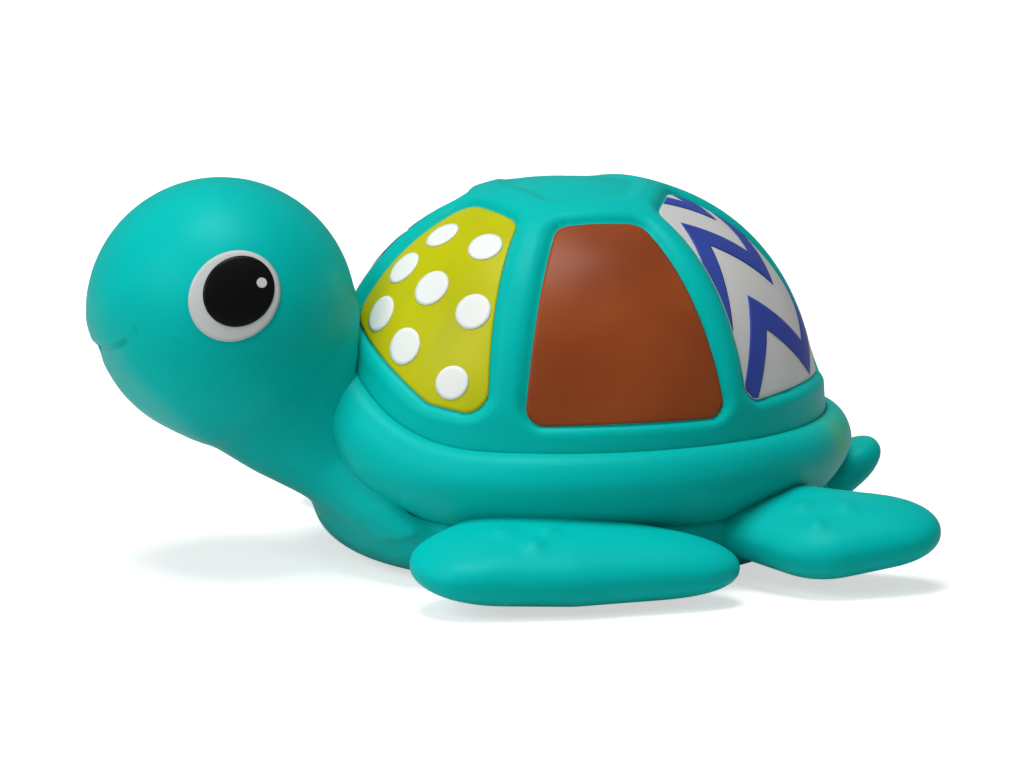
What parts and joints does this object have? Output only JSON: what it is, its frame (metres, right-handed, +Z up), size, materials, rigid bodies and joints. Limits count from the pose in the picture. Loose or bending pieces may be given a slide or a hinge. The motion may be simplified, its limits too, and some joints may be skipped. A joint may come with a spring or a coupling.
{
  "type": "bath squirt toy",
  "caption": "Hollow soft-vinyl sea turtle that rests on its belly and squirts bath water from its mouth when its domed shell is pressed.",
  "frame": {"origin": "middle of the flat of the belly, on the surface the toy stands on, under the middle of the shell", "axes": "-Y towards the nose, +X towards the turtle's left side, +Z up"},
  "size_m": [0.098, 0.1233, 0.0583],
  "materials": {
    "teal_vinyl": "satin soft vinyl",
    "plug_vinyl": "matte soft vinyl",
    "lime_paint": "glossy paint",
    "brown_paint": "glossy paint",
    "white_paint": "glossy paint",
    "dot_print": "glossy print",
    "blue_print": "glossy print",
    "eye_white_paint": "satin paint",
    "pupil_paint": "glossy print"
  },
  "bodies": {
    "turtle": {"shell_rim": "teal_vinyl", "belly_tub": "teal_vinyl", "belly_plug": "plug_vinyl", "head_and_neck": "teal_vinyl", "eye_white_left": "eye_white_paint", "eye_white_right": "eye_white_paint", "pupil_left": "pupil_paint", "pupil_right": "pupil_paint", "eye_glint_left": "eye_white_paint", "eye_glint_right": "eye_white_paint", "front_flipper_left": "teal_vinyl", "front_flipper_right": "teal_vinyl", "rear_flipper_left": "teal_vinyl", "rear_flipper_right": "teal_vinyl", "tail": "teal_vinyl"},
    "shell": {"shell_dome": "teal_vinyl", "lime_panel_front_left": "lime_paint", "brown_panel_left": "brown_paint", "white_panel_rear_left": "white_paint", "lime_panel_rear_right": "lime_paint", "brown_panel_right": "brown_paint", "white_panel_front_right": "white_paint", "dots_front_left": "dot_print", "dots_rear_right": "dot_print", "zigzags_rear_left": "blue_print", "zigzags_front_right": "blue_print"}
  },
  "joints": [
    {"name": "shell_squeeze", "type": "slide", "parent": "turtle", "child": "shell", "axis": [0, 0, -1], "range_m": [0, 0.005], "stiffness_N_per_m": 1500}
  ]
}
